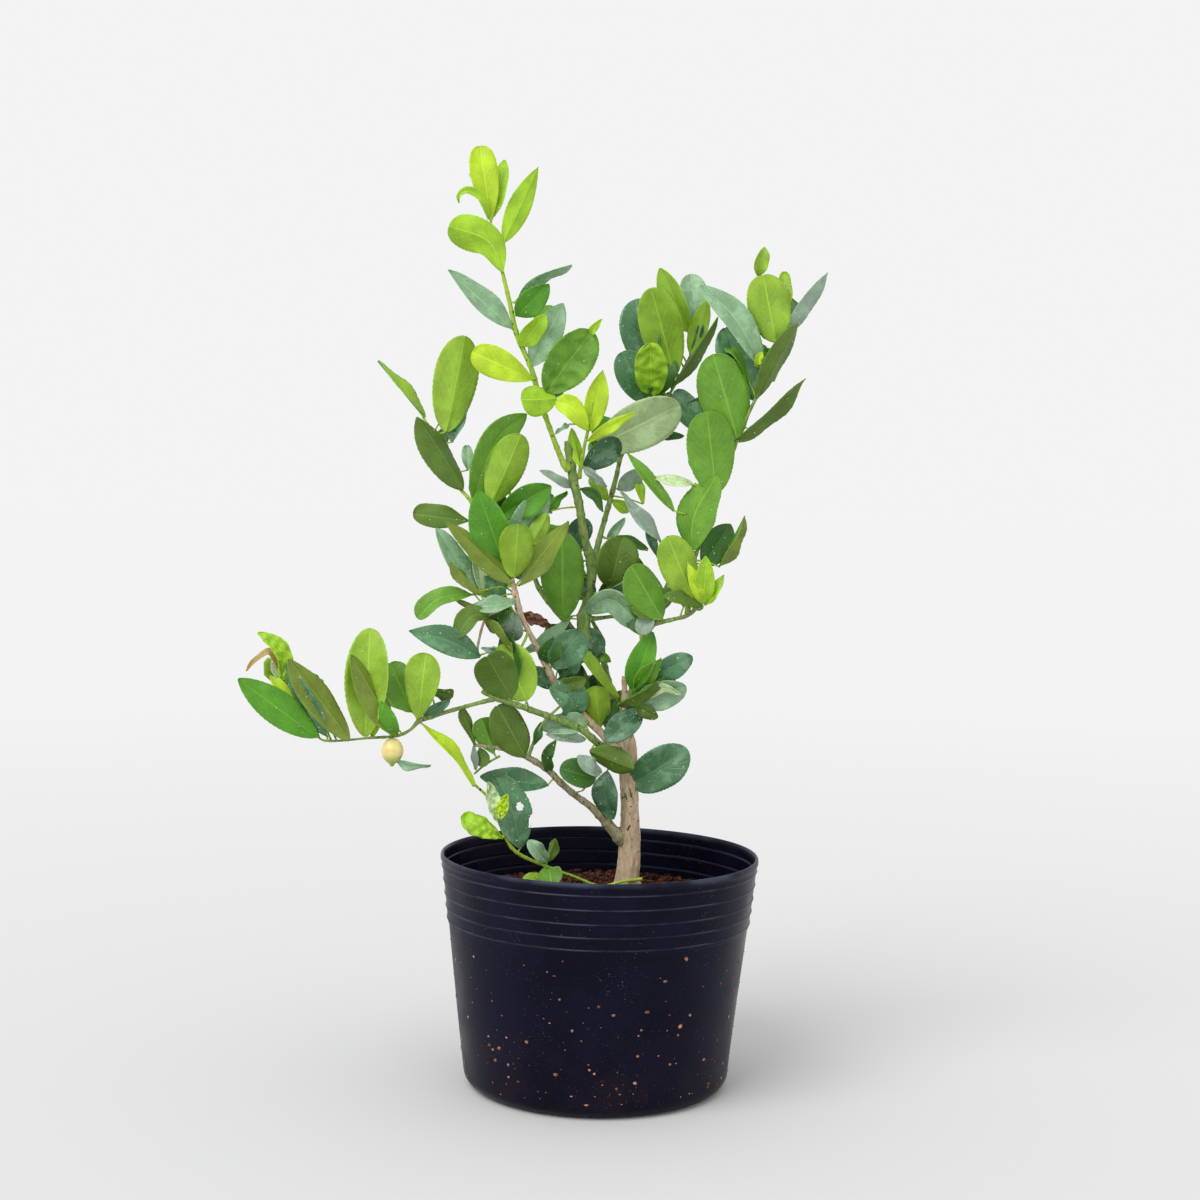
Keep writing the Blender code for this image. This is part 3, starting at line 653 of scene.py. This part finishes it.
def stalk(group, q0, q1, tintc, out=None):
    mid = (q0 + q1) / 2 + np.array((0, 0, 0.0012))
    tube(stalks.setdefault(group, Bag()), [list(q0) + [.00105], list(mid) + [.0008], list(q1) + [.0008]], 8, 0.0012, 0.03)


def mark(P):
    for x in P[2:-2, 1:-1].reshape(-1, 3):
        u, v = seen(x)
        stage_mask[min(max(int(v / 4), 0), 299), min(max(int(u / 4), 0), 299)] = True


def hidden(P):
    c = [seen(x) for x in P[::2, ::2].reshape(-1, 3)]
    return sum(stage_mask[min(max(int(v / 4), 0), 299), min(max(int(u / 4), 0), 299)] for u, v in c) / len(c)


def wet_drops(P, n, count):
    for _ in range(count):
        i, j = rng.randrange(6, P.shape[0] - 8), rng.randrange(1, P.shape[1] - 1)
        c, up = P[i, j], n[i, j]
        a = unit(np.cross(up, (0.3, 0.2, 0.9)))
        b = np.cross(up, a)
        r = rng.choice((.0004, .0005, .0006, .0009))
        v = [c + up * r * .75]
        for rad, hh in ((.55, .62), (.9, .3), (1, -.1)):
            v += [c + (a * math.cos(x * math.pi / 4) + b * math.sin(x * math.pi / 4)) * r * rad + up * r * hh for x in range(8)]
        v.append(c - up * r * .3)
        f = [(0, 1 + k, 1 + (k + 1) % 8) for k in range(8)]
        for g in (1, 9):
            f += [(g + k, g + 8 + k, g + 8 + (k + 1) % 8, g + (k + 1) % 8) for k in range(8)]
        f += [(25, 17 + (k + 1) % 8, 17 + k) for k in range(8)]
        drops.add(v, f, [tuple((.5, .5, 0) for _ in q) for q in f], [0] * len(f), (1, 1))


group = shoot = None
centres = []
for ln in LEAVES.strip().splitlines():
    w = ln.split()
    if ln[0] == "@":
        group, shoot = w[0][1:], w[1]
        continue
    bu, bv, tu, tv, wd, turn, out = map(float, w[:7])
    face, tn, form = w[7][0], w[7][1], w[8]
    via = [tuple(map(float, x[1:].split(","))) for x in w[9:] if x[0] == "v"]
    best = None
    for nm in [shoot] + [k for k in routes if k != shoot]:
        i, d = near_on(routes[nm], (bu, bv))
        d += 0 if nm == shoot else 12
        if nm != shoot and (nm.startswith("back") or group.startswith("broad")):
            d += 400
        if best is None or d < best[0]:
            best = (d, nm, i)
    q0 = routes[best[1]][best[2], :3]
    yb = q0[1] + (math.copysign(min(0.3 * abs(out), 6), out)) / 1000
    px = [(bu, bv)] + via + [(tu, tv)]
    cum = np.cumsum([0] + [math.dist(a, b) for a, b in zip(px, px[1:])])
    path = [at(u, v, yb + out / 1000 * c / cum[-1]) for (u, v), c in zip(px, cum)]
    wm = wd * (DIST + yb) / FPX
    t2 = OTHER[tn]
    pair = (group, tn, t2) if face == "U" else (group, t2, tn)
    holes = ()
    if (bu, tu) == (521, 496):
        holes = ((.60, -.42, .07, .24), (.655, -.30, .045, .22), (.52, .42, .055, .18), (.3, .98, .10, .22))
    P, n = leaf(bags.setdefault(pair, Bag()), path, wm, turn, face, form, rng,
                fold=rng.uniform(8, 18) + (12 if abs(turn) > 45 else 0), arch=rng.uniform(.0015, .0065) if face == "U" else rng.uniform(-.004, .001),
                crinkle=.004 if "c" in w[9:] else 0.0, holes=holes)
    stalk(group, q0, path[0], tn)
    mark(P)
    centres.append((P[len(P) // 2, P.shape[1] // 2], group))
    if wm > .012 and tn not in "amn":
        wet_drops(P, n, 13 if tn in WET_AND_SKY_TINTED else 7)

# leaves that the front ones hide, grown on round the shoots by a seeded rule, where no background shows between
rng2 = random.Random(5)
grown = 0
WHERE = dict(left_bough="left_hub_leaves", centre_bough="centre_leaves", back_bough="back_low_leaves", right_bough="right_lower_leaves",
             back_left_bough="back_left_leaves", back_right_bough="back_right_leaves", centre_right_shoot="inner_top_leaves",
             leader_shoot="leader_leaves", right_upper_shoot="right_top_leaves", long_shoot="long_left_leaves",
             left_top_shoot="left_top_leaves", lime_shoot="lime_shoot_leaves", low_left_bough="lower_centre_leaves",
             long_left_bough="left_hanging_leaves", back_low_twig="back_low_leaves", back_left_twig="back_left_leaves",
             back_right_twig="back_right_leaves")
for nm, grp in WHERE.items():
    r = routes[nm]
    span = np.linalg.norm(r[-1, :3] - r[0, :3])
    back = nm.startswith("back")
    turn = rng2.random() * 360
    gap = .0048 if back else .0085
    for k in range(int(span / gap)):
        i = min(int(len(r) * (.25 + .74 * (k + rng2.random()) / (span / gap))), len(r) - 2)
        if nm == "leader_shoot" and i > 112:
            break
        turn += 137.5
        for attempt in range(6):
            a = math.radians(turn + attempt * 47 + rng2.uniform(-25, 25))
            axis = unit(r[i + 1, :3] - r[i, :3])
            s1 = unit(np.cross(axis, (0, 1, .1)))
            s2 = np.cross(s1, axis)
            if s2[1] < 0:
                s2 = -s2
            d = unit(s1 * math.cos(a) + s2 * abs(math.sin(a)) * 1.3 + axis * rng2.uniform(.3, .8) + np.array((0, .25, .15)))
            L = rng2.uniform(.046, .078)
            b0 = r[i, :3] + d * rng2.uniform(.009, .022)
            tip = b0 + d * L + np.array((0, 0, -.012))
            mid = b0 + d * L * .5 + np.array((0, 0, .004))
            if not -.14 < tip[1] < .150:
                continue
            tn, one = rng2.choice("ddeffj"), Bag()
            P, n = leaf(one, [b0, mid, tip], L * rng2.uniform(.44, .54), rng2.uniform(-55, 55), "U", rng2.choice("oeb"), rng2,
                        fine=False, fold=rng2.uniform(8, 24))
            if hidden(P) >= .97:
                if not back:
                    grp = min(centres, key=lambda c: math.dist(c[0], mid))[1]
                bags.setdefault((grp, tn, "i" if tn == "f" else "c"), Bag()).add(one.v[0], one.f, one.uv, one.mi, (1, 1))
                stalk(grp, r[i, :3], b0, tn)
                grown += 1
                break
print("grown", grown)
for (grp, tu_, tl_), bag in bags.items():
    made.append(make("%s_%s%s" % (grp, tu_, tl_), bag, [tint(tu_), tint(tl_)], (grp,)))
for grp, bag in stalks.items():
    make(grp + "_stalks", bag, [MY])
M = Mat("water", 0.04, 0.9)
M.out(M.mix(M.ramp(M.noise(300), .4, .6), (.22, .36, .13), (.46, .60, .36)))
make("water_drops", drops, [M.m])

# ---------------------------------------------------------------- fruit
bag = Bag()
c = at(390, 746, -.096)
top = at(393, 737, -.092)
ax = unit(at(392, 762, -.097) - top)
prof = [(0, 0), (.0035, .0006), (.0075, .0035), (.0100, .0085), (.0104, .0125), (.0088, .0175), (.0055, .0212), (.0026, .0232), (.0018, .0250), (0, .0256)]
pp = spline([(x, y, 0) for x, y in prof], 34)
a1 = unit(np.cross(ax, (0, 1, 0)))
a2 = np.cross(ax, a1)
SN = 40
v = [top + ax * .001]
for x, y, _ in pp[1:-1]:
    v += [top + ax * (y + .001) + (a1 * math.cos(6.2832 * j / SN) + a2 * math.sin(6.2832 * j / SN)) * x * .95 * (1 + .015 * math.sin(10 * 6.2832 * j / SN)) for j in range(SN)]
v.append(top + ax * .0266)
R = len(pp) - 2
f = [(0, 1 + (j + 1) % SN, 1 + j) for j in range(SN)]
for i in range(R - 1):
    f += [(1 + i * SN + j, 1 + i * SN + (j + 1) % SN, 1 + (i + 1) * SN + (j + 1) % SN, 1 + (i + 1) * SN + j) for j in range(SN)]
f += [(1 + R * SN, 1 + (R - 1) * SN + j, 1 + (R - 1) * SN + (j + 1) % SN) for j in range(SN)]
vv = np.array(v)
fuv = []
for q in f:
    z = [((vv[i] - top) @ ax / .0266, math.atan2((vv[i] - c) @ a2, (vv[i] - c) @ a1) / 6.2832 + .5) for i in q]
    fuv.append(tuple((y, x, 0) for x, y in z))
bag.add(v, f, fuv, [0] * len(f), (1, 1))
M = Mat("fruit_skin", .38, .5)
xy = M.n("ShaderNodeSeparateXYZ", {0: M.n("ShaderNodeUVMap", uv_map="Leaf").outputs[0]})
colr = M.mix(M.ramp(xy.outputs[1], .55, .95), lin("ead98a"), lin("8aa838"))
colr = M.mix(M.ramp(M.noise(140), .5, .7, 0, .5), colr, lin("e0b47a"))
make("young_fruit", bag, [M.out(colr, None, M.noise(900), .25, .0005)])

# ---------------------------------------------------------------- pot
SEG = 288


def warp(r, a, z):
    k = (z / .218) ** 2
    rr = r - .0058 * k * math.sin(2 * a) * (r / .15)
    rr += .0009 * noise.noise(Vector((math.cos(a) * 1.4, math.sin(a) * 1.4, z * 9))) * min(1, z / .03)
    return (rr * math.cos(a), rr * math.sin(a), z + .0012 * k * k * math.cos(a) * (r / .15))


def wall(z):
    return .1245 + .1125 * z + (.0008 if z > .1535 else 0)


RINGS = (.2066, .1936, .1806, .1685, .1572)


def ring(z):
    return sum(.0009 * math.exp(-((z - k) / .00075) ** 2) for k in RINGS)


outer = [(0, .0006), (.06, .0004), (.104, 0)]
cr_ = wall(.014) - .014
outer += [(cr_ + .014 * math.cos(math.radians(x)), .014 + .014 * math.sin(math.radians(x))) for x in range(-90, 1, 9)]
outer += [(wall(z), z) for z in np.arange(.018, .152, .0045)]
outer += [(wall(z) + ring(z), z) for z in np.arange(.1525, .2105, .0005)]
outer += [(wall(.2112), .2112), (.1494, .2120), (.1502, .2128), (.1503, .2150), (.1500, .2168), (.1494, .2178), (.1486, .2181), (.1478, .2178), (.1471, .2168), (.1467, .2150)]
inner = [(wall(z) - .0024 + ring(z) * .8, z) for z in np.arange(.2105, .1525, -.0005)]
inner += [(wall(z) - .0025, z) for z in np.arange(.15, .018, -.008)] + [(wall(.014) - .0025, .014), (cr_ + .006, .006), (cr_, .003), (0, .003)]
prof = outer + inner
bag = Bag()
v = [(0, 0, prof[0][1])]
for r, z in prof[1:-1]:
    v += [warp(r, 2 * math.pi * j / SEG, z) for j in range(SEG)]
v.append((0, 0, prof[-1][1]))
R = len(prof) - 2
f, fuv, L = [], [], R + 1
for j in range(SEG):
    k = (j + 1) % SEG
    f += [(0, 1 + k, 1 + j), (1 + R * SEG, 1 + (R - 1) * SEG + j, 1 + (R - 1) * SEG + k)]
    fuv += [((j / SEG, 0, 0), ((j + 1) / SEG, 1 / L, 0), (j / SEG, 1 / L, 0)), ((j / SEG, 1, 0), (j / SEG, R / L, 0), ((j + 1) / SEG, R / L, 0))]
    for i in range(R - 1):
        f.append((1 + i * SEG + j, 1 + i * SEG + k, 1 + (i + 1) * SEG + k, 1 + (i + 1) * SEG + j))
        y0, y1 = (i + 1) / L, (i + 2) / L
        fuv.append(((j / SEG, y0, 0), ((j + 1) / SEG, y0, 0), ((j + 1) / SEG, y1, 0), (j / SEG, y1, 0)))
bag.add(v, f, fuv, [0] * len(f), (1, 1))
M = Mat("pot_plastic", .32, .09)
co = M.n("ShaderNodeTexCoord").outputs["Object"]
sep = M.n("ShaderNodeSeparateXYZ", {0: co})
z = sep.outputs[2]
cloud, grit = M.noise(16, 4, co), M.noise(520, 2, co)
colr = M.mix(M.ramp(cloud, .35, .7), (.0022, .0021, .0100), (.0042, .0040, .0175))
# painted highlight: paler, bluish crests on the ridges, their height set off by the rim's tilt
tilt = M.math('MULTIPLY', M.math('MULTIPLY', sep.outputs[0], .008), M.math('POWER', M.math('DIVIDE', z, .218), 4))
level = M.math('SUBTRACT', z, tilt)
painted_ridge_highlight = None
for k in RINGS:
    one = M.ramp(M.math('ABSOLUTE', M.math('SUBTRACT', level, k + .0003)), .0002, .0009, 1, 0)
    painted_ridge_highlight = one if painted_ridge_highlight is None else M.math('MAXIMUM', painted_ridge_highlight, one)
painted_ridge_highlight = M.math('MULTIPLY', painted_ridge_highlight, M.ramp(M.noise(24, 3, co), .35, .65, .15, .85))
colr = M.mix(painted_ridge_highlight, colr, (.040, .050, .085))
# painted highlight: a paler blue band on the rim's top, patchy by noise
colr = M.mix(M.math('MULTIPLY', M.ramp(z, .2125, .217), M.ramp(M.noise(20, 3, co), .35, .65, .1, .7)), colr, (.060, .072, .115))
colr = M.mix(M.math('MULTIPLY', M.ramp(z, .01, .11, 1, 0), M.ramp(M.noise(30, 3, co), .4, .7, .1, .8)), colr, (.0120, .0060, .0120))
dust = M.math('MULTIPLY', M.ramp(grit, .66, .72), M.ramp(M.noise(22, 3, co), .42, .7, .1, .8))
colr = M.mix(dust, colr, (.11, .10, .115))
M.out(colr, M.ramp(cloud, .3, .7, .24, .42), M.noise(260, 3, co), .12, .001)
make("pot_shell", bag, [M.m], ("pot",))

# orange-brown flecks of mix stuck to the wall, and dried drops
fl = Bag()
for _ in range(330):
    a, zz = rng2.uniform(0, 6.283), .012 + .135 * rng2.random() ** 1.25
    x, y, zc = warp(wall(zz) + .0002, a, zz)
    out_, tg, upv = np.array((math.cos(a), math.sin(a), 0)), np.array((-math.sin(a), math.cos(a), 0)), np.array((0, 0, 1.0))
    r = rng2.choice((.0006, .0008, .0010, .0016, .0024))
    st, ro = rng2.uniform(.4, 1), rng2.uniform(0, 3)
    v = [np.array((x, y, zc)) + out_ * .0006]
    v += [np.array((x, y, zc)) + (tg * math.cos(k * 1.0472 + ro) + upv * st * math.sin(k * 1.0472 + ro)) * r * rng2.uniform(.7, 1.2) for k in range(6)]
    v.append(np.array((x, y, zc)) - out_ * .0005)
    f = [(0, 1 + k, 1 + (k + 1) % 6) for k in range(6)] + [(7, 1 + (k + 1) % 6, 1 + k) for k in range(6)]
    fl.add(v, f, [tuple((.5, .5, 0) for _ in q) for q in f], [0] * 12, (1, 1))
M = Mat("flecks", .8, .3)
M.out(M.mix(M.ramp(M.noise(90), .4, .6), lin("7a4a34"), lin("c08a6a")))
make("pot_flecks", fl, [M.m])

# ---------------------------------------------------------------- soil
bag = Bag()
RS, AS = 60, 160
v = [(0, 0, .1735)]
for i in range(1, RS + 1):
    r = (wall(.173) - .0032) * i / RS
    for j in range(AS):
        a = 2 * math.pi * j / AS
        x, y, _ = warp(r, a, .173)
        z_ = .1728 + .0022 * noise.noise(Vector((x * 35, y * 35, 0))) + .0020 * noise.noise(Vector((x * 150, y * 150, 3))) + .0012 * noise.noise(Vector((x * 420, y * 420, 5)))
        v.append((x, y, z_))
n0 = len(v)
v += [(v[1 + (RS - 1) * AS + j][0] * .965, v[1 + (RS - 1) * AS + j][1] * .965, .150) for j in range(AS)] + [(0, 0, .150)]
f = [(0, 1 + j, 1 + (j + 1) % AS) for j in range(AS)]
for i in range(RS - 1):
    f += [(1 + i * AS + j, 1 + (i + 1) * AS + j, 1 + (i + 1) * AS + (j + 1) % AS, 1 + i * AS + (j + 1) % AS) for j in range(AS)]
b_ = 1 + (RS - 1) * AS
f += [(b_ + j, n0 + j, n0 + (j + 1) % AS, b_ + (j + 1) % AS) for j in range(AS)]
f += [(n0 + AS, n0 + (j + 1) % AS, n0 + j) for j in range(AS)]
vv = np.array(v)
bag.add(v, f, [tuple((vv[i][0] / .3 + .5, vv[i][1] / .3 + .5, 1 if vv[q[0]][2] < .16 else 0) for i in q) for q in f], [0] * len(f), (1, 1))
M = Mat("potting_mix", .95, .2)
colr = M.mix(M.ramp(M.noise(240, 5), .35, .65), lin("2c1712"), lin("6e4030"))
colr = M.mix(M.ramp(M.noise(430, 1), .66, .72), colr, lin("b08a68"))
M.out(colr, None, M.noise(500, 5), 1.0, .002)
make("mix_surface", bag, [M.m], ("soil",))
ch = Bag()
for _ in range(1500):
    a, r = rng2.uniform(0, 6.283), (wall(.173) - .008) * math.sqrt(rng2.random())
    x, y, _z = warp(r, a, .173)
    size = np.array((rng2.uniform(.001, .0042), rng2.uniform(.0008, .0020), rng2.uniform(.0006, .0014)))
    rot = np.array(Matrix.Rotation(rng2.uniform(0, 6.28), 3, 'Z') @ Matrix.Rotation(rng2.uniform(-.5, .5), 3, 'X'))
    pts = np.array([(i, j, k) for i in (-1, 1) for j in (-1, 1) for k in (-1, 1)], float)
    pts = pts * size * np.array([[rng2.uniform(.55, 1.1) for _ in range(3)] for _ in range(8)])
    v = pts @ rot.T + np.array((x, y, .1742 + rng2.uniform(-.0005, .0014)))
    f = [(0, 1, 3, 2), (4, 6, 7, 5), (0, 4, 5, 1), (2, 3, 7, 6), (0, 2, 6, 4), (1, 5, 7, 3)]
    ch.add(v, f, [((.2, .2, 0), (.8, .2, 0), (.8, .8, 0), (.2, .8, 0))] * 6, [0] * 6, (1, 1))
M = Mat("bark_chips", .9, .25)
M.out(M.mix(M.ramp(M.noise(120, 2), .38, .66), lin("331812"), lin("7a4630")), None, M.noise(900), .5, .001)
make("mix_chips", ch, [M.m])

# ---------------------------------------------------------------- stage and light
me = bpy.data.meshes.new("floor")
S_ = 60
me.from_pydata([(-S_, -S_, -.0006), (S_, -S_, -.0006), (S_, S_, -.0006), (-S_, S_, -.0006)], [], [(0, 1, 2, 3)])
fl_ = bpy.data.objects.new("floor", me)
bpy.context.scene.collection.objects.link(fl_)
M = Mat("floor", .9, 0)
# painted shade: the floor is darker near the middle and lighter towards 4 m out, standing for light falling off
d_ = M.n("ShaderNodeVectorMath", {0: M.n("ShaderNodeTexCoord").outputs["Object"]}, operation='LENGTH').outputs["Value"]
M.out(M.mix(M.ramp(d_, .1, 4), (.665, .665, .668), (.722, .722, .722)))
me.materials.append(M.m)
world = bpy.data.worlds.new("studio")
bpy.context.scene.world = world
world.use_nodes = True
nt_ = world.node_tree
bgn = nt_.nodes["Background"]
bgn.inputs[0].default_value = (.90, .90, .905, 1)
bgn.inputs[1].default_value = 1.0
sun = bpy.data.objects.new("key", bpy.data.lights.new("key", 'SUN'))
sun.data.energy, sun.data.angle = 1.5, math.radians(40)
sun.rotation_euler = (math.radians(38), math.radians(-24), math.radians(-14))
bpy.context.scene.collection.objects.link(sun)
